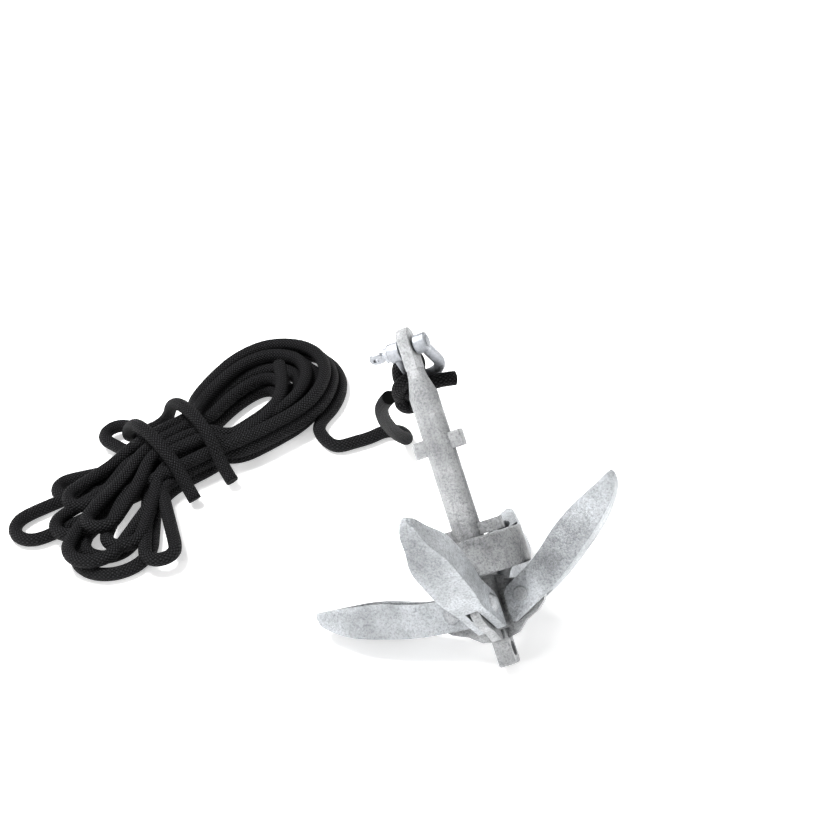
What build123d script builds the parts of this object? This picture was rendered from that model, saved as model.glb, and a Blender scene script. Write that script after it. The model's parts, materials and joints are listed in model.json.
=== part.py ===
from build123d import *
import os
from math import acos, atan2, cos, degrees, radians, sin, tan

# Folding grapnel anchor of the 0.7 kg class, standing open on its crown stub and the bellies of two
# flukes, with its braided rope tied to the shackle and hanked beside it. Millimetres, +Z up.
#
# The anchor is drawn in its own frame first: Z runs up the shank from the level of the four fluke
# pivots, X points to the left fluke and Y to the front fluke. stand() then leans it over on the
# ground, where +X is to the right and +Y is away from the viewer.

# --- pose on the ground -----------------------------------------------------------------------
LEAN = 42.156  # shank from the vertical, degrees
HEADING = 16.463  # which way it leans, degrees from +Y towards -X
ROLL = -30.781  # turn about the shank, degrees
CROWN_AT = (18.0, -210.9, 27.352)  # the pivots' level on the shank's axis, in the row frame

# --- shank, one forging with its head, locking lugs, crown lugs and stub -----------------------
SHANK_R = 7.4
HEAD_TOP = 143.0
HEAD_THICK = 6.5
HEAD_WIDE = 12.4
FLARE_LOW = 108.0
FLARE_HIGH = 121.0
PIN_Z = 132.8
PIN_R = 3.0
PIN_HOLE_R = 3.3
TOP_LUG = (13.2, 6.4, 78.0, 86.2)  # reach, width, bottom and top of the upper locking lugs
LOW_LUG = (18.8, 5.8, 33.2, 39.2)  # the same for the lower locking lugs
STUB_END = -32.0
STUB_U = 8.8
STUB_V = 10.0
STUB_EYE_R = 2.6
STUB_EYE_LONG = 7.6
STUB_EYE_Z = -24.6

# --- flukes and their rivets ------------------------------------------------------------------
PIVOT_R = 18.4  # pivot axis from the shank's axis
FLUKE_LONG = 75.5  # pivot to tip
CHEEK_OUT = 7.4  # half the root's width
LUG_HALF = 2.4  # half a crown lug's thickness
SLOT_HALF = 3.3  # half the root's slot
SLOT_END = 9.4
BLADE_HALF = 9.8
WALL = 2.9
RIVET_R = 2.6
RIVET_HOLE_R = 2.9
FLUKES = {
    # name: direction round the shank, angle from the shank when open, slack sideways in the joint
    "left": (0.0, 74.5, 0.0),
    "front": (90.0, 48.0, 3.5),
    "right": (180.0, 55.0, 0.0),
    "rear": (270.0, 55.8, 0.0),
}

# --- sliding collar ---------------------------------------------------------------------------
COLLAR_R = 26.0
COLLAR_BORE = 21.0
COLLAR_LOW = 13.6
COLLAR_HIGH = 32.5
WEB_THICK = 5.5
WEB_HOLE_R = 7.7
KEYWAY_HALF = 4.5
KEYWAY_REACH = 19.9

# --- screw shackle ----------------------------------------------------------------------------
BOW_ROD_R = 2.9
BOW_R = 8.6  # rod's centre line round the bow
BOW_DROP = 16.8  # pin to the bow's centre
EAR_GAP_HALF = 4.0
EAR_THICK = 6.5
EAR_R = 5.0
BOW_HANG = 58.0  # the bow's slant away from the shank, towards the rear, held off it by the rope
PIN_BORE_R = 3.08

# --- rope -------------------------------------------------------------------------------------
ROPE_R = 3.75
KNOT_R = 7.8
# In the bow's frame: X left along the pin, Y along the bow away from the pin, Z towards the front.
KNOT_AT = (14.8, 31.5, 5.0)
LOOP_ROUTE = [
    (16.4, 27.6, 0.0),
    (16.6, 18.6, -6.6),
    (1.6, 15.2, -7.0),
    (1.6, 14.4, 7.0),
    (16.8, 17.5, 7.0),
    (18.2, 27.2, 6.6),
]
LOOP_RADII = [6.2, 6.9, 6.9, 6.2]
TAIL_ROUTE = [
    (10.4, 29.4, 6.4),
    (4.2, 23.8, 7.4),
    (-3.6, 23.4, 7.5),
    (-8.6, 25.8, 6.7),
    (-12.2, 28.4, 6.0),
]
# On the ground: X right, Y away, Z up, measured from the layout's own origin.
LEAD_ROUTE = [
    (-20.4, -113.6, 88.4),
    (-24.0, -105.8, 79.6),
    (-26.0, -96.4, 68.4),
    (-25.7, -80.0, 49.8),
    (-23.1, -60.0, 28.6),
    (-19.5, -48.0, 14.0),
    (-14.5, -40.0, 4.1),
    (-17.5, -30.5, 4.0),
    (-28.0, -28.5, 4.1),
    (-36.5, -33.5, 4.0),
    (-45.5, -36.0, 4.2),
    (-56.5, -39.0, 4.0),
    (-64.0, -28.0, 4.1),
    (-67.0, -15.0, 4.0),
]
LOBE_HIGH = 16.0
WAIST_HIGH = 22.0
RIGHT_LOBE = [
    (-150, -8),
    (-139, 20),
    (-118, 50),
    (-94, 66),
    (-68, 58),
    (-52, 32),
    (-53, 4),
    (-68, -17),
    (-95, -35),
    (-122, -50),
    (-142, -38),
]
LEFT_FAN = [
    (-150, -14),
    (-172, -10),
    (-196, -27),
    (-218, -42),
    (-216, -58),
    (-206, -76),
    (-211, -98),
    (-203, -118),
    (-182, -127),
    (-162, -118),
    (-150, -92),
    (-134, -60),
]
# loops that stand out of the hank: their two ends, outer and inner width
OPEN_LOOPS = [
    ((-180, -55), (-224, -73), 31.0, 15.5),
    ((-135, -55), (-152, -115), 23.0, 7.6),
    ((-170, -22), (-186, -9), 24.0, 9.0),
]
# the tie's turns over the hank's waist, each from its rear foot to its front foot
TIE_TURNS = [((-151, -1), (-121, -52)), ((-173, -20), (-142, -62))]
ORIGIN = (8.048, -178.871)  # middle of the anchor's footprint, in the layout's frame


def direction():
    """The anchor's own axes u (left fluke) and s (up the shank), in the row frame."""
    lean = radians(LEAN)
    az = radians(HEADING)
    roll = radians(ROLL)
    s = Vector(-sin(lean) * sin(az), sin(lean) * cos(az), cos(lean))
    level = Vector(-cos(az), -sin(az), 0)
    across = s.cross(level)
    u = level * cos(roll) + across * sin(roll)
    return u, s


U, S = direction()
GROUND = Plane(origin=CROWN_AT, x_dir=U, z_dir=S)


def stand(part):
    """Move a part from the anchor's own frame to where it stands on the ground."""
    return part.moved(GROUND.location)


def box(x0, x1, y0, y1, z0, z1):
    """A box between two corners."""
    block = Box(x1 - x0, y1 - y0, z1 - z0)
    return block.moved(Location(((x0 + x1) / 2, (y0 + y1) / 2, (z0 + z1) / 2)))


def rod(radius, start, end):
    """A round bar between two points."""
    a = Vector(start)
    way = Vector(end) - a
    return extrude(Plane(origin=a, z_dir=way) * Circle(radius), amount=way.length)


def soften(part, radius, edges):
    """Round the edges that take the radius, and leave the part as it is if they do not."""
    for size in (radius, radius * 0.6):
        try:
            rounded = fillet(edges, size)
        except Exception:
            continue
        if rounded.is_valid and rounded.volume > part.volume * 0.8:
            return rounded
    return part


# --- shank ------------------------------------------------------------------------------------
def crown_lug():
    """The plate that carries one fluke, in the XZ plane, pointing along +X."""
    outline = Polyline(
        (0, 12.5),
        (7.6, 12.0),
        (13.0, 8.6),
        (18.8, 7.2),
        (24.6, 5.0),
        (28.6, 0.6),
        (29.2, -3.0),
        (27.2, -6.6),
        (23.0, -10.2),
        (15.4, -13.4),
        (9.4, -18.2),
        (0, -20.0),
        close=True,
    )
    plate = extrude(Plane.XZ * make_face(outline), amount=LUG_HALF, both=True)
    rim = plate.edges().filter_by(Axis.Y).filter_by_position(Axis.X, 10, 30)
    return soften(plate, 1.6, rim)


def locking_lugs(reach, width, low, high):
    """A pair of lugs across the shank along X, rounded at their ends."""
    bar = box(-reach, reach, -width / 2, width / 2, low, high)
    ends = bar.edges().filter_by(Axis.Z)
    bar = soften(bar, 1.2, ends)
    return bar


def head_eye():
    """The flattened head: a slab across X with a round top and the pin's hole through it."""
    half = HEAD_WIDE / 2
    top = HEAD_TOP - half
    side = Polyline((-half, FLARE_HIGH), (half, FLARE_HIGH), (half, top))
    arc = ThreePointArc((half, top), (0, HEAD_TOP), (-half, top))
    close = Line((-half, top), (-half, FLARE_HIGH))
    face = make_face([*side.edges(), arc, close])
    slab = extrude(Plane.YZ * face, amount=HEAD_THICK / 2, both=True)
    rims = slab.faces().filter_by(Axis.X).edges()
    slab = soften(slab, 1.0, rims)
    low = Plane.XY.offset(FLARE_LOW) * Circle(SHANK_R)
    high = Plane.XY.offset(FLARE_HIGH) * RectangleRounded(HEAD_THICK, HEAD_WIDE, 2.2)
    return slab + loft([low, high])


def stub():
    """The squared stub under the crown, with the trip line's eye through it along X."""
    post = box(-STUB_U / 2, STUB_U / 2, -STUB_V / 2, STUB_V / 2, STUB_END, -12)
    foot = post.edges().filter_by_position(Axis.Z, STUB_END - 0.1, STUB_END + 0.1)
    post = soften(post, 1.2, foot)
    upright = post.edges().filter_by(Axis.Z)
    post = soften(post, 1.0, upright)
    eye = Plane.YZ * SlotOverall(STUB_EYE_LONG, 2 * STUB_EYE_R, rotation=90)
    eye = extrude(eye, amount=STUB_U, both=True)
    return post - eye.moved(Location((0, 0, STUB_EYE_Z)))


def shank():
    """The whole forging."""
    body = rod(SHANK_R, (0, 0, -14), (0, 0, FLARE_LOW)) + head_eye() + stub()
    for turn in range(4):
        body += crown_lug().rotate(Axis.Z, 90 * turn)
    body += locking_lugs(*TOP_LUG) + locking_lugs(*LOW_LUG)
    body -= rod(PIN_HOLE_R, (-20, 0, PIN_Z), (20, 0, PIN_Z))
    for x, y in ((0, 1), (1, 0)):
        for side in (-1, 1):
            at = Vector(y, x, 0) * PIVOT_R * side
            across = Vector(x, y, 0) * 10
            body -= rod(RIVET_HOLE_R, at - across, at + across)
    return body


# --- flukes -----------------------------------------------------------------------------------
def fluke_profile():
    """The blade seen from its side: X along the blade from the pivot, Y towards the shank."""
    inner = Spline(
        (FLUKE_LONG - 0.9, 1.1),
        (62.0, 3.0),
        (50.0, 4.8),
        (36.0, 5.7),
        (20.0, 5.0),
        (8.0, 6.2),
        (-1.6, 7.6),
    )
    root = Polyline((-1.6, 7.6), (-5.4, 6.4), (-10.2, 0.4), (-13.4, -5.2), (-12.2, -6.6), (6.4, -9.8))
    outer = Spline(
        (6.4, -9.8),
        (18.0, -11.3),
        (36.0, -11.6),
        (50.0, -11.0),
        (62.0, -8.9),
        (71.0, -5.0),
        (FLUKE_LONG - 0.9, -1.1),
    )
    tip = ThreePointArc((FLUKE_LONG - 0.9, -1.1), (FLUKE_LONG, 0), (FLUKE_LONG - 0.9, 1.1))
    return make_face([inner, *root.edges(), outer, tip])


def fluke_plan(half_root, half_blade, end, round_tip):
    """The blade seen from above: a leaf that is narrow at the root and pointed at the tip."""
    points = [
        (-16.0, half_root),
        (9.0, half_root),
        (22.0, half_root + 0.72 * (half_blade - half_root)),
        (38.0, half_blade),
        (54.0, 0.9 * half_blade),
        (end - 9.0, 0.56 * half_blade),
        (end, round_tip),
    ]
    start = Line((-16.0, -half_root), points[0])
    upper = Line(points[0], points[1])
    leaf = Spline(*points[1:], tangents=[(1, 0), (0.5, -1)])
    tip = ThreePointArc((end, round_tip), (end + round_tip * 0.7, 0), (end, -round_tip))
    back = Spline(*[(x, -y) for x, y in reversed(points[1:])], tangents=[(-0.5, -1), (-1, 0)])
    lower = Line((9.0, -half_root), (-16.0, -half_root))
    return make_face([start, upper, leaf, tip, back, lower])


def fluke():
    """One fluke along +X from its pivot, hollow on its upper side, forked at its root."""
    side = extrude(Plane.XZ * fluke_profile(), amount=BLADE_HALF + 2, both=True)
    plan = extrude(fluke_plan(CHEEK_OUT, BLADE_HALF, FLUKE_LONG - 2.2, 2.0), amount=20, both=True)
    blade = side & plan
    long_edges = blade.edges().filter_by(lambda e: e.length > 30)
    low_edges = long_edges.filter_by(lambda e: e.center().Z < -2)
    blade = soften(blade, 3.2, low_edges)
    blade = soften(blade, 1.0, blade.edges().filter_by(lambda e: e.length > 30 and e.center().Z > 2))
    hollow = extrude(
        fluke_plan(SLOT_HALF, BLADE_HALF - WALL, FLUKE_LONG - 15.0, 1.2), amount=20, both=True
    )
    floor = Spline((-20.0, -8.0), (10.0, -8.3), (36.0, -8.6), (50.0, -7.6), (62.0, -5.0), (70.0, 2.0))
    lid = Polyline((70.0, 2.0), (70.0, 14.0), (-20.0, 14.0), (-20.0, -8.0))
    trough = hollow & extrude(Plane.XZ * make_face([floor, *lid.edges()]), amount=20, both=True)
    slot = box(-20, SLOT_END, -SLOT_HALF, SLOT_HALF, -20, 20)
    hole = rod(RIVET_R, (0, -12, 0), (0, 12, 0))
    return blade - trough - slot - hole


def rivet():
    """A fluke's rivet along Y: a flat peened tail at -Y and a domed head at +Y."""
    face = CHEEK_OUT
    shaft = rod(RIVET_R, (0, -face, 0), (0, face, 0))
    ball = Sphere(5.5).moved(Location((0, face - 2.9, 0)))
    dome = ball & box(-9, 9, face, face + 5, -9, 9)
    tail = rod(3.5, (0, -face - 0.9, 0), (0, -face, 0))
    tail = soften(tail, 0.5, tail.edges().group_by(Axis.Y)[0])
    return shaft + dome + tail


def at_fluke(part, turn, angle, slack):
    """Lay a part drawn along +X at a fluke's pivot, at its angle from the shank."""
    tilted = part.rotate(Axis.Z, -slack).rotate(Axis.Y, angle - 90)
    return tilted.moved(Location((PIVOT_R, 0, 0))).rotate(Axis.Z, turn)


# --- collar -----------------------------------------------------------------------------------
def collar():
    """A short sleeve with a web near its top; the web is pierced for the shank and its lugs."""
    high = COLLAR_HIGH - COLLAR_LOW
    ring = Cylinder(COLLAR_R, high) - Cylinder(COLLAR_BORE, high)
    ring = soften(ring, 1.4, ring.edges().filter_by(GeomType.CIRCLE).sort_by(SortBy.RADIUS)[-2:])
    web = Cylinder(COLLAR_BORE + 0.6, WEB_THICK)
    web = web - Cylinder(WEB_HOLE_R, WEB_THICK)
    web = web - box(-KEYWAY_REACH, KEYWAY_REACH, -KEYWAY_HALF, KEYWAY_HALF, -WEB_THICK, WEB_THICK)
    web = web.moved(Location((0, 0, (high - WEB_THICK) / 2)))
    return (ring + web).moved(Location((0, 0, (COLLAR_LOW + COLLAR_HIGH) / 2)))


# --- shackle ----------------------------------------------------------------------------------
def shackle_bow():
    """The bow hanging along -Z from the pin's axis, which is X; ears left and right."""
    ear_x = EAR_GAP_HALF + EAR_THICK / 2
    reach = (ear_x**2 + BOW_DROP**2) ** 0.5
    meet = atan2(BOW_DROP, ear_x) - acos(BOW_R / reach)
    meet_x = BOW_R * cos(meet)
    meet_z = BOW_R * sin(meet) - BOW_DROP
    right = Line((ear_x, 0, 0), (meet_x, 0, meet_z))
    round_end = ThreePointArc((meet_x, 0, meet_z), (0, 0, -BOW_DROP - BOW_R), (-meet_x, 0, meet_z))
    left = Line((-meet_x, 0, meet_z), (-ear_x, 0, 0))
    start = Plane(origin=right @ 0, z_dir=right % 0)
    bow = sweep(start * Circle(BOW_ROD_R), path=Wire([right, round_end, left]))
    for side in (-1, 1):
        near = side * EAR_GAP_HALF
        far = side * (EAR_GAP_HALF + EAR_THICK)
        ear = rod(EAR_R, (near, 0, 0), (far, 0, 0))
        ear = soften(ear, 0.7, ear.edges().filter_by(GeomType.CIRCLE))
        bow += ear
    bow -= box(-EAR_GAP_HALF, EAR_GAP_HALF, -6, 6, -4.5, 6)
    return bow - rod(PIN_BORE_R, (-20, 0, 0), (20, 0, 0))


def shackle_pin():
    """The screw pin along X, with a flange and a flat eye tab at its +X end."""
    outer = EAR_GAP_HALF + EAR_THICK
    shaft = rod(PIN_R, (-outer - 0.6, 0, 0), (outer + 0.4, 0, 0))
    shaft = soften(shaft, 0.5, shaft.edges().group_by(Axis.X)[0])
    flange = rod(3.9, (outer + 0.3, 0, 0), (outer + 2.0, 0, 0))
    neck = rod(2.4, (outer + 1.5, 0, 0), (outer + 4.0, 0, 0))
    tab = Plane.XZ * SlotOverall(8.6, 7.4)
    tab = extrude(tab, amount=1.1, both=True).moved(Location((outer + 6.6, 0, 0)))
    tab = soften(tab, 0.6, tab.edges().filter_by(lambda e: abs(e.center().Y) > 1.0))
    eye = rod(1.5, (outer + 7.6, -4, 0), (outer + 7.6, 4, 0))
    return shaft + flange + neck + tab - eye


def at_pin(part):
    """Hang a part drawn round the pin's axis from the head."""
    return part.rotate(Axis.X, -BOW_HANG).moved(Location((0, 0, PIN_Z)))


# --- rope -------------------------------------------------------------------------------------
def route_radii(points):
    """The radius at each corner of a cord's route, as large as its runs allow."""
    radii = []
    for before, corner, after in zip(points, points[1:], points[2:]):
        come = Vector(corner) - Vector(before)
        go = Vector(after) - Vector(corner)
        turn = radians(come.get_angle(go))
        radii.append(0.45 * min(come.length, go.length) / tan(turn / 2))
    return radii


def rope_tube(points, radii=None):
    """A round tube along a route of straight runs and tangent arcs."""
    radii = radii or route_radii(points)
    path = FilletPolyline(*points, radius=radii)
    start = Plane(origin=path @ 0, z_dir=path % 0)
    tube = sweep(start * Circle(ROPE_R), path=path)
    share = tube.volume / (3.14159 * ROPE_R**2 * path.length)
    print("route of", round(path.length), "mm, radii", [round(r, 1) for r in radii], "share", round(share, 3))
    return tube


def bow_frame():
    """The bow's frame on the standing anchor, as LOOP_ROUTE and TAIL_ROUTE use it."""
    slant = radians(BOW_HANG)
    v = S.cross(U)
    along = S * -cos(slant) - v * sin(slant)
    pin = Vector(CROWN_AT) + S * PIN_Z
    return Plane(origin=pin, x_dir=U, z_dir=U.cross(along))


def rope_knot():
    """The knot's outer shape."""
    return Sphere(KNOT_R).moved(Location(KNOT_AT))


def straight_slot(start, end, width):
    """A flat block with round ends from one point on the ground to another."""
    a = Vector(*start)
    b = Vector(*end)
    angle = degrees(atan2(b.Y - a.Y, b.X - a.X))
    middle = Location(((a.X + b.X) / 2, (a.Y + b.Y) / 2, 0), (0, 0, angle))
    slot = SlotCenterToCenter((b - a).length, width)
    return extrude(slot, amount=2 * ROPE_R).moved(middle)


def blob(points, high):
    """A closed outline raised to a height."""
    return extrude(make_face(Polyline(*points, close=True)), amount=high)


def tie_turn(start, end, grow, high):
    """A block across the waist, from foot to foot, rounded over the top."""
    a = Vector(*start)
    b = Vector(*end)
    angle = degrees(atan2(b.Y - a.Y, b.X - a.X))
    middle = Location(((a.X + b.X) / 2, (a.Y + b.Y) / 2, high / 2), (0, 0, angle))
    block = Box((b - a).length, grow, high)
    block = soften(block, 9.0, block.edges().filter_by(Axis.Y).group_by(Axis.Z)[-1])
    return block.moved(middle)


def rope_hank():
    """The hank's outer shape: its two ends, its waist and the loops that stand out of it."""
    body = blob(RIGHT_LOBE, LOBE_HIGH) + blob(LEFT_FAN, LOBE_HIGH)
    for start, end in TIE_TURNS:
        body += tie_turn(start, end, 24.0, WAIST_HIGH)
    for start, end, outer, inner in OPEN_LOOPS:
        ring = straight_slot(start, end, outer) - straight_slot(start, end, inner)
        body += ring
    return body


def rope_tie(hank, start, end):
    """One turn of the short rope tied round the waist, as a band from foot to foot."""
    a = Vector(*start)
    b = Vector(*end)
    out = (b - a).normalized() * ROPE_R * 1.5
    foot = a - out
    toe = b + out
    band = tie_turn((foot.X, foot.Y), (toe.X, toe.Y), 2 * ROPE_R, WAIST_HIGH + 1.7 * ROPE_R)
    return (band - hank).solids().sort_by(SortBy.VOLUME)[-1]


# --- everything where it stands ---------------------------------------------------------------
def anchor_parts():
    """Every metal piece by name, standing on the ground."""
    parts = {
        "shank": stand(shank()),
        "collar": stand(collar()),
        "shackle_bow": stand(at_pin(shackle_bow())),
        "shackle_pin": stand(at_pin(shackle_pin())),
    }
    for name, placing in FLUKES.items():
        parts["fluke_" + name] = stand(at_fluke(fluke(), *placing))
        parts["rivet_" + name] = stand(at_fluke(rivet(), *placing))
    return parts


def rope_parts():
    """Every rope piece by name, where it lies."""
    bow = bow_frame().location
    hank = rope_hank()
    parts = {
        "rope_loop": rope_tube(LOOP_ROUTE, LOOP_RADII).moved(bow),
        "rope_knot": rope_knot().moved(bow),
        "rope_tail": rope_tube(TAIL_ROUTE).moved(bow),
        "rope_lead": rope_tube(LEAD_ROUTE),
        "rope_hank": hank,
    }
    for number, (start, end) in enumerate(TIE_TURNS, 1):
        parts[f"rope_tie_{number}"] = rope_tie(hank, start, end)
    return parts


def main():
    os.makedirs("parts", exist_ok=True)
    home = Location((-ORIGIN[0], -ORIGIN[1], 0))
    for name, part in {**anchor_parts(), **rope_parts()}.items():
        export_step(part.moved(home), f"parts/{name}.step")
        print(name, round(part.volume), "mm3")


if __name__ == "__main__":
    main()
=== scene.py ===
"""Looks for the folding grapnel anchor: galvanised castings, a braided rope with its hank, and the studio."""
import json
from math import cos, pi, radians, sin

import bmesh
import bpy
from mathutils import Matrix, Vector


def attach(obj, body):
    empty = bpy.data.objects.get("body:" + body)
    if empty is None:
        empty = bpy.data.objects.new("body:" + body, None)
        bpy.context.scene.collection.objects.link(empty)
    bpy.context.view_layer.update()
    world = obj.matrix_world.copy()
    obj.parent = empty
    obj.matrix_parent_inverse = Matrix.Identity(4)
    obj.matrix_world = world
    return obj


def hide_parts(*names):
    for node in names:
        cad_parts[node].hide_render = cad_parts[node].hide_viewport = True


# Route points are millimetres in the layout's frame: X right, Y away, Z up. ORIGIN is the row's origin in it.
MM = 0.001
ORIGIN = Vector((8.048, -178.871, 0.0))
ROPE_D = 7.5
ROPE_R = ROPE_D / 2
ROPE_SIDES = 16
SAME_POINT = 1e-5  # metres
LINE_STEPS = 8  # steps of a rope's centre line for each control point
STRANDS = 6  # the braid's diamonds round the rope
BRAID_PITCH = 0.0042  # metres along the rope for each pair of diamonds

# --- the anchor's own frame, as part.py stands it on the ground -------------------------------
LEAN = radians(42.156)
HEADING = radians(16.463)
ROLL = radians(-30.781)
CROWN_AT = Vector((18.0, -210.9, 27.352))
PIN_UP = 132.8  # shackle pin above the crown, along the shank
BOW_HANG = radians(58.0)

# --- rope at the shackle, in the bow's frame: X left, Y along the bow, Z towards the front -----
LOOP_ROUTE = [
    (16.4, 27.6, 0.0),
    (16.6, 18.6, -6.6),
    (1.6, 15.2, -7.0),
    (1.6, 14.4, 7.0),
    (16.8, 17.5, 7.0),
    (18.2, 27.2, 6.6),
]
TAIL_ROUTE = [
    (10.4, 29.4, 6.4),
    (4.2, 23.8, 7.4),
    (-3.6, 23.4, 7.5),
    (-8.6, 25.8, 6.7),
    (-12.2, 28.4, 6.0),
]
# one strand wound round the other two, drawn tight
KNOT_ROUTE = [
    (14.6, 24.6, 5.4),
    (10.6, 26.2, 8.8),
    (10.2, 32.0, 10.0),
    (15.2, 36.0, 8.6),
    (19.4, 33.6, 4.6),
    (17.6, 30.4, 0.6),
    (11.6, 31.0, 1.0),
    (9.6, 34.0, 4.6),
    (13.6, 36.6, 8.0),
    (19.0, 34.4, 8.6),
    (19.8, 29.4, 7.4),
    (15.8, 27.2, 4.6),
]

# --- the rope's fall from the knot and its run over the ground to the hank ---------------------
LEAD_ROUTE = [
    (-20.4, -113.6, 88.4),
    (-24.0, -105.8, 79.6),
    (-26.0, -96.4, 68.4),
    (-25.7, -80.0, 49.8),
    (-23.1, -60.0, 28.6),
    (-19.5, -48.0, 14.0),
    (-14.5, -40.0, 4.1),
    (-17.5, -30.5, 4.0),
    (-28.0, -28.5, 4.1),
    (-36.5, -33.5, 4.0),
    (-45.5, -36.0, 4.2),
    (-56.5, -39.0, 4.0),
    (-64.0, -28.0, 4.1),
    (-67.0, -15.0, 4.0),
]

# --- the hank ---------------------------------------------------------------------------------
WAIST = Vector((-146.5, -34.5, 0.0))
WAIST_ALONG = Vector((0.855, 0.518, 0.0))  # through the waist, from its left side to its right
WAIST_ACROSS = Vector((-0.518, 0.855, 0.0))
WAIST_HALF = 17.0
SLOT_PITCH = 7.3
FOLD_STEPS = 5  # control points round half a fold
FLOOR_LEVEL = 4.0  # the lowest layer's centre line
PASSES_WIDE = 3  # passes side by side in each half of the waist
LEAD_JOINS = 3  # the point of the first way round the right end at which the lead comes in
LEVEL_PITCH = 6.0
# a turn's way round the right end, from the waist's lower side to its upper side: widest and narrowest
RIGHT_WIDE = [
    (-111, -45), (-87, -31), (-66, -16), (-54, 4), (-50, 30),
    (-62, 56), (-90, 66), (-114, 54), (-131, 30), (-143, 4),
]
RIGHT_NARROW = [
    (-120, -25), (-108, -15), (-98, -5), (-91, 5), (-88, 15),
    (-91, 24), (-99, 26), (-109, 19), (-119, 8), (-129, -7),
]
# each turn: how far in from the widest round the right end, its height there,
# its left tip (x, y), half the width of its left fold and the fold's height
TURNS = [
    (0.00, 4.0, (-187, -127), 22.0, 4.0),
    (0.28, 4.0, (-237, -84), 12.5, 4.2),
    (0.55, 4.0, (-189, -112), 14.5, 4.2),
    (0.80, 4.2, (-153, -126), 8.6, 9.0),
    (1.00, 4.6, (-217, -49), 8.0, 5.0),
    (0.12, 10.8, (-196, -122), 15.0, 10.8),
    (0.40, 10.8, (-211, -93), 10.5, 9.0),
    (0.66, 11.0, (-176, -113), 10.0, 11.0),
    (0.92, 11.2, (-207, -70), 9.0, 11.4),
    (0.22, 17.2, (-190, -100), 8.5, 16.0),
    (0.52, 17.6, (-188, 3), 9.0, 7.0),
]
LAST_END = [(-119, -41, 17.0), (-100, -28, 18.0), (-88, -10, 19.5), (-84, 8, 21.0), (-86.6, 26.6, 22.0)]
# the short rope tied round the waist: cut end, over, round behind, over again, cut end
TIE_ROUTE = [
    (-116, -60, 5.0),
    (-121, -52, 11.0),
    (-124, -47, 22.0),
    (-131, -35, 31.5),
    (-142, -16, 31.5),
    (-150, -3, 23.0),
    (-154, 4, 10.0),
    (-160, 4, 4.2),
    (-171, -2, 4.2),
    (-178, -11, 9.0),
    (-174, -18, 21.0),
    (-167, -29, 30.5),
    (-156, -46, 30.5),
    (-146, -59, 22.0),
    (-141, -66, 11.0),
    (-137, -72, 4.4),
]

# --- studio: metres for the floor and the lights ----------------------------------------------
FLOOR_SIZE = 12.0
LIGHTS = [
    # name, place, what it faces, size, watts
    ("top_light", (-0.5, 0.35, 1.1), (0, 0, 0), 0.4, 22.0),
    ("left_light", (-1.1, -0.9, 0.6), (0, 0, 0.05), 0.35, 9.0),
    ("right_light", (1.2, -0.3, 0.6), (0, 0, 0.05), 0.4, 6.0),
]
PAINTED_SHADE_REACH = 0.009  # how far painted shade reaches from a gap in the metal, metres
CAMERA_AT = (0.0, -898.639, 651.369)
LOOKS_DOWN = radians(35.936)
CAMERA_ROLL = radians(-6.857)
LENS = 82.53  # on a 36 mm sensor
SHIFT = (-0.0263, -0.0071)


# --- helpers ----------------------------------------------------------------------------------
def row(point):
    """A layout point in millimetres as a row point in metres."""
    return (Vector(point) - ORIGIN) * MM


def anchor_axes():
    """The anchor's own axes: towards the left fluke, towards the front fluke and up the shank."""
    up = Vector((-sin(LEAN) * sin(HEADING), sin(LEAN) * cos(HEADING), cos(LEAN)))
    level = Vector((-cos(HEADING), -sin(HEADING), 0))
    left = level * cos(ROLL) + up.cross(level) * sin(ROLL)
    return left, up.cross(left), up


def bow_point(point):
    """A point of the bow's frame, in millimetres, as a layout point."""
    left, front, up = anchor_axes()
    along = -up * cos(BOW_HANG) - front * sin(BOW_HANG)
    across = left.cross(along)
    pin = CROWN_AT + up * PIN_UP
    return pin + left * point[0] + along * point[1] + across * point[2]


def smooth_line(points):
    """The rope's centre line: a smooth curve with these control points, as points in metres."""
    data = bpy.data.curves.new("line", "CURVE")
    data.dimensions = "3D"
    spline = data.splines.new("NURBS")
    spline.points.add(len(points) - 1)
    for control, point in zip(spline.points, points):
        control.co = (*row(point), 1.0)
    spline.order_u = 3
    spline.use_endpoint_u = True
    spline.resolution_u = LINE_STEPS
    line = bpy.data.objects.new("line", data)
    bpy.context.scene.collection.objects.link(line)
    bpy.context.view_layer.update()
    mesh = bpy.data.meshes.new_from_object(line.evaluated_get(bpy.context.evaluated_depsgraph_get()))
    path = [vertex.co.copy() for vertex in mesh.vertices]
    bpy.data.objects.remove(line)
    bpy.data.meshes.remove(mesh)
    return [p for p, q in zip(path, path[1:]) if (q - p).length > SAME_POINT] + [path[-1]]


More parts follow.
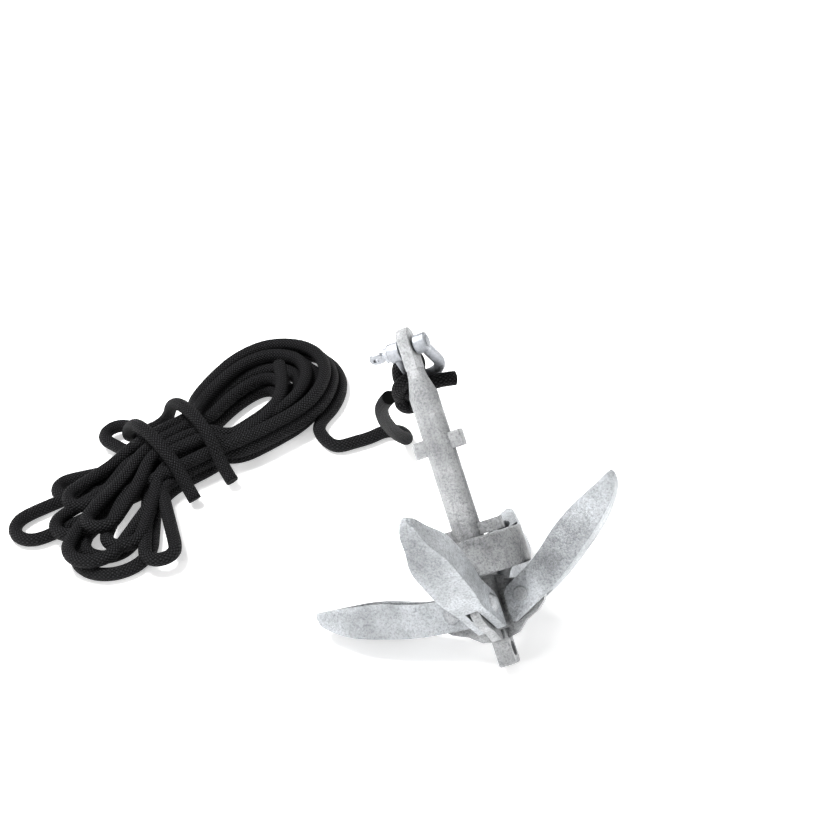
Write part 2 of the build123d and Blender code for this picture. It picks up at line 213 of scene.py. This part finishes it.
def rope_piece(name, points):
    """A round rope with blunt ends; its UV map runs in metres along it and once round it."""
    path = smooth_line(points)
    tube = bmesh.new()
    spread = tube.loops.layers.uv.new("UVMap")
    way = (path[1] - path[0]).normalized()
    side = way.orthogonal().normalized()
    rings = []
    marks = []
    mark = 0.0
    angles = [2 * pi * step / ROPE_SIDES for step in range(ROPE_SIDES)]
    for number, point in enumerate(path):
        before = path[max(number - 1, 0)]
        after = path[min(number + 1, len(path) - 1)]
        turned = (after - before).normalized()
        side = (way.rotation_difference(turned) @ side).normalized()
        way = turned
        other = way.cross(side)
        mark += (point - before).length
        marks.append(mark)
        ring = [tube.verts.new(point + (side * cos(a) + other * sin(a)) * ROPE_R * MM) for a in angles]
        rings.append(ring)
    for number, (here, ahead) in enumerate(zip(rings, rings[1:])):
        for step in range(ROPE_SIDES):
            following = (step + 1) % ROPE_SIDES
            face = tube.faces.new((here[step], here[following], ahead[following], ahead[step]))
            face.smooth = True
            places = ((0, 0), (0, 1), (1, 1), (1, 0))
            for loop, (onward, round_it) in zip(face.loops, places):
                loop[spread].uv = (marks[number + onward], (step + round_it) / ROPE_SIDES)
    for ring in (list(reversed(rings[0])), rings[-1]):
        tube.faces.new(ring)
    mesh = bpy.data.meshes.new(name)
    tube.to_mesh(mesh)
    tube.free()
    rope = bpy.data.objects.new(name, mesh)
    bpy.context.scene.collection.objects.link(rope)
    return rope, path, mark


# --- the hank's route -------------------------------------------------------------------------
def waist_pass(order, upper):
    """The two ends of one pass through the waist, left end first."""
    slot = order % PASSES_WIDE
    level = order // PASSES_WIDE
    side = SLOT_PITCH * (slot + 0.5)
    side = side if upper else -side
    height = FLOOR_LEVEL + LEVEL_PITCH * level
    middle = WAIST + WAIST_ACROSS * side
    ends = [middle - WAIST_ALONG * WAIST_HALF, middle + WAIST_ALONG * WAIST_HALF]
    return [(end.x, end.y, height) for end in ends]


def right_fold(inward, height):
    """The way round the right end, this far in from the widest turn."""
    fold = []
    for wide, narrow in zip(RIGHT_WIDE, RIGHT_NARROW):
        x = wide[0] + (narrow[0] - wide[0]) * inward
        y = wide[1] + (narrow[1] - wide[1]) * inward
        fold.append((x, y, height))
    return fold


def left_fold(tip, half, height, come, leave):
    """Out from the waist's upper side, round a fold at this tip, and back to its lower side."""
    tip = Vector((*tip, 0))
    start = Vector((come[0], come[1], 0))
    end = Vector((leave[0], leave[1], 0))
    way = (tip - (start + end) / 2).normalized()
    side = Vector((way.y, -way.x, 0))
    if side.dot(start - end) < 0:
        side = -side
    middle = tip - way * half
    route = [start.lerp(middle + side * half, 0.4), start.lerp(middle + side * half, 0.75)]
    for step in range(FOLD_STEPS + 1):
        angle = pi * step / FOLD_STEPS
        route.append(middle + (side * cos(angle) + way * sin(angle)) * half)
    route += [end.lerp(middle - side * half, 0.75), end.lerp(middle - side * half, 0.4)]
    return [(p.x, p.y, height) for p in route]


def hank_route():
    """The whole rope from the knot: its fall, its run over the ground and every turn of the hank."""
    route = list(LEAD_ROUTE)
    first_inward, first_height = TURNS[0][:2]
    route += right_fold(first_inward, first_height)[LEAD_JOINS:]
    for number, (_, _, tip, half, fold_height) in enumerate(TURNS):
        left_end, right_end = waist_pass(number, True)
        low_left, low_right = waist_pass(number, False)
        route += [right_end, left_end]
        route += left_fold(tip, half, fold_height, left_end, low_left)
        route += [low_left, low_right]
        if number + 1 < len(TURNS):
            next_inward, next_height = TURNS[number + 1][:2]
            route += right_fold(next_inward, next_height)
    return route + LAST_END


# --- materials --------------------------------------------------------------------------------
def new_material(name):
    """An empty node material with its shader."""
    material = bpy.data.materials.new(name)
    material.use_nodes = True
    nodes = material.node_tree.nodes
    return material, nodes, material.node_tree.links, nodes["Principled BSDF"]


def noise(nodes, links, coordinates, scale, detail, roughness):
    """A noise texture on these coordinates."""
    texture = nodes.new("ShaderNodeTexNoise")
    texture.inputs["Scale"].default_value = scale
    texture.inputs["Detail"].default_value = detail
    texture.inputs["Roughness"].default_value = roughness
    links.new(coordinates, texture.inputs["Vector"])
    return texture.outputs["Fac"]


def ramp(nodes, links, value, stops):
    """A colour ramp through (position, colour) stops."""
    node = nodes.new("ShaderNodeValToRGB")
    elements = node.color_ramp.elements
    for number, (position, colour) in enumerate(stops):
        element = elements[number] if number < 2 else elements.new(position)
        element.position = position
        element.color = (*colour, 1.0)
    links.new(value, node.inputs["Fac"])
    return node.outputs["Color"]


def mix(nodes, links, kind, factor, first, second):
    """Two colours mixed; factor is a number or a socket."""
    node = nodes.new("ShaderNodeMixRGB")
    node.blend_type = kind
    if isinstance(factor, float):
        node.inputs["Fac"].default_value = factor
    else:
        links.new(factor, node.inputs["Fac"])
    links.new(first, node.inputs["Color1"])
    links.new(second, node.inputs["Color2"])
    return node.outputs["Color"]


def bump(nodes, links, height, distance, strength, under=None):
    """A bump from a height, over another bump if one is given."""
    node = nodes.new("ShaderNodeBump")
    node.inputs["Distance"].default_value = distance
    node.inputs["Strength"].default_value = strength
    links.new(height, node.inputs["Height"])
    if under:
        links.new(under, node.inputs["Normal"])
    return node.outputs["Normal"]


def zinc(name, light, dark, grain, pitting, metallic):
    """Hot-dip galvanised metal: clouded zinc, darker specks, cast grain, edges lighter from wear and a
    painted highlight, and painted shade in creases and gaps.
    """
    material, nodes, links, shader = new_material(name)
    where = nodes.new("ShaderNodeTexCoord").outputs["Object"]
    cloud = noise(nodes, links, where, 70.0, 6.0, 0.62)
    colour = ramp(nodes, links, cloud, [(0.32, dark), (0.66, light)])
    patch = noise(nodes, links, where, 26.0, 3.0, 0.5)
    patches = ramp(nodes, links, patch, [(0.36, (0.62, 0.62, 0.62)), (0.60, (1.0, 1.0, 1.0))])
    colour = mix(nodes, links, "MULTIPLY", 0.75, colour, patches)
    speck = noise(nodes, links, where, 900.0, 5.0, 0.75)
    specks = ramp(nodes, links, speck, [(0.34, (0.34, 0.34, 0.35)), (0.56, (1.0, 1.0, 1.0))])
    colour = mix(nodes, links, "MULTIPLY", pitting, colour, specks)
    # Pointiness: concave creases darker as painted shade; convex edges lighter, partly edge wear and partly a
    # painted highlight.
    edge = nodes.new("ShaderNodeNewGeometry").outputs["Pointiness"]
    crease_shade_edge_highlight_stops = [(0.44, (0.42, 0.43, 0.44)), (0.50, (0.8, 0.8, 0.8)), (0.57, (1.0, 1.0, 1.0))]
    crease_shade_edge_highlight_wear = ramp(nodes, links, edge, crease_shade_edge_highlight_stops)
    colour = mix(nodes, links, "MULTIPLY", 0.6, colour, crease_shade_edge_highlight_wear)
    # Ambient occlusion darkens the colour in gaps and recesses: painted shade.
    gap = nodes.new("ShaderNodeAmbientOcclusion")
    gap.inputs["Distance"].default_value = PAINTED_SHADE_REACH
    painted_gap_shade = ramp(nodes, links, gap.outputs["AO"], [(0.30, (0.16, 0.16, 0.16)), (0.85, (1.0, 1.0, 1.0))])
    colour = mix(nodes, links, "MULTIPLY", 0.65, colour, painted_gap_shade)
    links.new(colour, shader.inputs["Base Color"])
    shader.inputs["Metallic"].default_value = metallic
    gloss = ramp(nodes, links, cloud, [(0.3, (0.56, 0.56, 0.56)), (0.7, (0.38, 0.38, 0.38))])
    links.new(gloss, shader.inputs["Roughness"])
    coarse = bump(nodes, links, noise(nodes, links, where, 160.0, 4.0, 0.6), 0.0016, grain)
    fine = bump(nodes, links, speck, 0.0009, grain, coarse)
    links.new(fine, shader.inputs["Normal"])
    return material


def calculate(nodes, links, kind, first, second, third=None):
    """A sum; each value is a number or a socket."""
    node = nodes.new("ShaderNodeMath")
    node.operation = kind
    for socket, value in zip(node.inputs, (first, second, third)):
        if value is None:
            continue
        if isinstance(value, (int, float)):
            socket.default_value = value
        else:
            links.new(value, socket)
    return node.outputs[0]


def braid():
    """Black braided rope: two families of strands that cross at a slant, with fuzz, a soft shine, a painted
    highlight on the strand tops and painted shade in the grooves.
    """
    material, nodes, links, shader = new_material("black_braid")
    spread = nodes.new("ShaderNodeTexCoord").outputs["UV"]
    split = nodes.new("ShaderNodeSeparateXYZ")
    links.new(spread, split.inputs["Vector"])
    along = calculate(nodes, links, "MULTIPLY", split.outputs["X"], 2 * pi / BRAID_PITCH)
    left = calculate(nodes, links, "MULTIPLY_ADD", split.outputs["Y"], 2 * pi * STRANDS, along)
    right = calculate(nodes, links, "MULTIPLY_ADD", split.outputs["Y"], -2 * pi * STRANDS, along)
    left_wave = calculate(nodes, links, "SINE", left, None)
    right_wave = calculate(nodes, links, "SINE", right, None)
    crossing = calculate(nodes, links, "MULTIPLY", left_wave, right_wave)
    height = calculate(nodes, links, "ABSOLUTE", crossing, None)
    height = calculate(nodes, links, "POWER", height, 0.6)
    tilt = calculate(nodes, links, "MULTIPLY_ADD", crossing, 0.5, 0.5)
    where = nodes.new("ShaderNodeTexCoord").outputs["Object"]
    fuzz = noise(nodes, links, where, 2600.0, 3.0, 0.7)
    # Strand tops lighter as a painted highlight, grooves near black as painted shade.
    colour = ramp(nodes, links, height, [(0.30, (0.001, 0.001, 0.001)), (0.95, (0.030, 0.030, 0.033))])
    family = ramp(nodes, links, tilt, [(0.3, (0.6, 0.6, 0.6)), (0.7, (1.0, 1.0, 1.0))])
    colour = mix(nodes, links, "MULTIPLY", 0.8, colour, family)
    shade = ramp(nodes, links, fuzz, [(0.35, (0.5, 0.5, 0.5)), (0.7, (1.0, 1.0, 1.0))])
    links.new(mix(nodes, links, "MULTIPLY", 0.6, colour, shade), shader.inputs["Base Color"])
    shader.inputs["Roughness"].default_value = 0.7
    shader.inputs["Specular IOR Level"].default_value = 0.12
    weave = bump(nodes, links, height, 0.0008, 1.0)
    links.new(bump(nodes, links, fuzz, 0.0002, 0.5, weave), shader.inputs["Normal"])
    return material


def dress(frame):
    """Give every metal node its galvanised material."""
    finishes = {
        "shank_zinc": zinc("shank_zinc_look", (0.72, 0.73, 0.74), (0.46, 0.47, 0.48), 0.9, 0.7, 0.8),
        "collar_zinc": zinc("collar_zinc_look", (0.68, 0.69, 0.70), (0.40, 0.41, 0.42), 1.0, 0.85, 0.75),
        "fluke_zinc": zinc("fluke_zinc_look", (0.74, 0.77, 0.80), (0.50, 0.52, 0.54), 0.9, 0.7, 0.75),
        "rivet_zinc": zinc("rivet_zinc_look", (0.70, 0.72, 0.74), (0.50, 0.51, 0.53), 0.6, 0.6, 0.8),
        "shackle_zinc": zinc("shackle_zinc_look", (0.60, 0.62, 0.66), (0.42, 0.44, 0.47), 0.35, 0.4, 0.85),
    }
    for part in frame["record"]["subparts"]:
        look = finishes.get(part["material_slot"])
        if look:
            node = frame["nodes"][part["node"]]
            node.data.materials.clear()
            node.data.materials.append(look)
            if "custom_normal" in node.data.attributes:
                node.data.attributes.remove(node.data.attributes["custom_normal"])
            node.data.shade_smooth()
            node.data.set_sharp_from_angle(angle=radians(30))


# --- ropes ------------------------------------------------------------------------------------
def lay_rope(name, points, body, nodes, look):
    """A rope piece that rides on a body and stands for these plain solids."""
    rope, path, length = rope_piece(name, points)
    rope.data.materials.append(look)
    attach(rope, body)
    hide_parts(*nodes)
    return rope, path, length


def ropes():
    """The loop, knot and tail on the shackle, the main rope with its hank, and the tie."""
    look = braid()
    knot = lay_rope("knot", [bow_point(p) for p in KNOT_ROUTE], "shackle_body", ["rope_knot"], look)
    tail = lay_rope("knot_tail", [bow_point(p) for p in TAIL_ROUTE], "shackle_body", ["rope_tail"], look)
    loop = lay_rope("bow_loop", [bow_point(p) for p in LOOP_ROUTE], "shackle_body", ["rope_loop"], look)
    main = lay_rope("main_rope", hank_route(), "shank_body", ["rope_lead", "rope_hank"], look)
    tie = lay_rope("hank_tie", TIE_ROUTE, "shank_body", ["rope_tie_1", "rope_tie_2"], look)


# --- studio -----------------------------------------------------------------------------------
def area_light(name, place, target, size, power):
    """A square soft light that faces a point."""
    data = bpy.data.lights.new(name, "AREA")
    data.size = size
    data.energy = power
    light = bpy.data.objects.new(name, data)
    light.location = place
    light.rotation_euler = (Vector(target) - Vector(place)).to_track_quat("-Z", "Y").to_euler()
    bpy.context.scene.collection.objects.link(light)


def studio():
    """Pale floor, soft light from above and the sides, and a nearly white surround."""
    bpy.ops.mesh.primitive_plane_add(size=FLOOR_SIZE, location=(0, 0, 0))
    floor = bpy.context.object
    floor.name = "floor"
    material, _, _, shader = new_material("floor_white")
    shader.inputs["Base Color"].default_value = (0.90, 0.90, 0.90, 1.0)
    shader.inputs["Roughness"].default_value = 0.8
    shader.inputs["Emission Color"].default_value = (1.0, 1.0, 1.0, 1.0)
    shader.inputs["Emission Strength"].default_value = 0.45
    floor.data.materials.append(material)
    world = bpy.data.worlds.new("studio_air")
    world.use_nodes = True
    nodes = world.node_tree.nodes
    links = world.node_tree.links
    split = nodes.new("ShaderNodeSeparateXYZ")
    links.new(nodes.new("ShaderNodeTexCoord").outputs["Generated"], split.inputs["Vector"])
    sky = ramp(nodes, links, split.outputs["Z"], [(0.0, (0.10, 0.10, 0.10)), (0.7, (1.0, 1.0, 1.0))])
    links.new(sky, nodes["Background"].inputs["Color"])
    nodes["Background"].inputs["Strength"].default_value = 0.42
    bpy.context.scene.world = world
    for light in LIGHTS:
        area_light(*light)


def camera():
    """The view from the front, a good third of the way up, slightly rolled."""
    data = bpy.data.cameras.new("camera")
    data.sensor_width = 36.0
    data.lens = LENS
    data.shift_x, data.shift_y = SHIFT
    data.clip_end = 20.0
    eye = bpy.data.objects.new("camera", data)
    place = Matrix.Translation(row(CAMERA_AT))
    tilt = Matrix.Rotation(radians(90) - LOOKS_DOWN, 4, "X")
    roll = Matrix.Rotation(CAMERA_ROLL, 4, "Z")
    eye.matrix_world = place @ tilt @ roll
    bpy.context.scene.collection.objects.link(eye)
    bpy.context.scene.camera = eye


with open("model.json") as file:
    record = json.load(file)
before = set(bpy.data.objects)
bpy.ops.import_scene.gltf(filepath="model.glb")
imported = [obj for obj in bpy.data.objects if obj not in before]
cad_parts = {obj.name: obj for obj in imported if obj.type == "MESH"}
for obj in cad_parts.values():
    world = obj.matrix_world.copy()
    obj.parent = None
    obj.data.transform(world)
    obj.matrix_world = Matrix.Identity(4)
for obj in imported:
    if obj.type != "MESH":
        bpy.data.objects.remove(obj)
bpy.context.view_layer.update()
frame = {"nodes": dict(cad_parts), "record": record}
dress(frame)
ropes()
studio()
camera()
bpy.context.scene.view_settings.view_transform = "Standard"
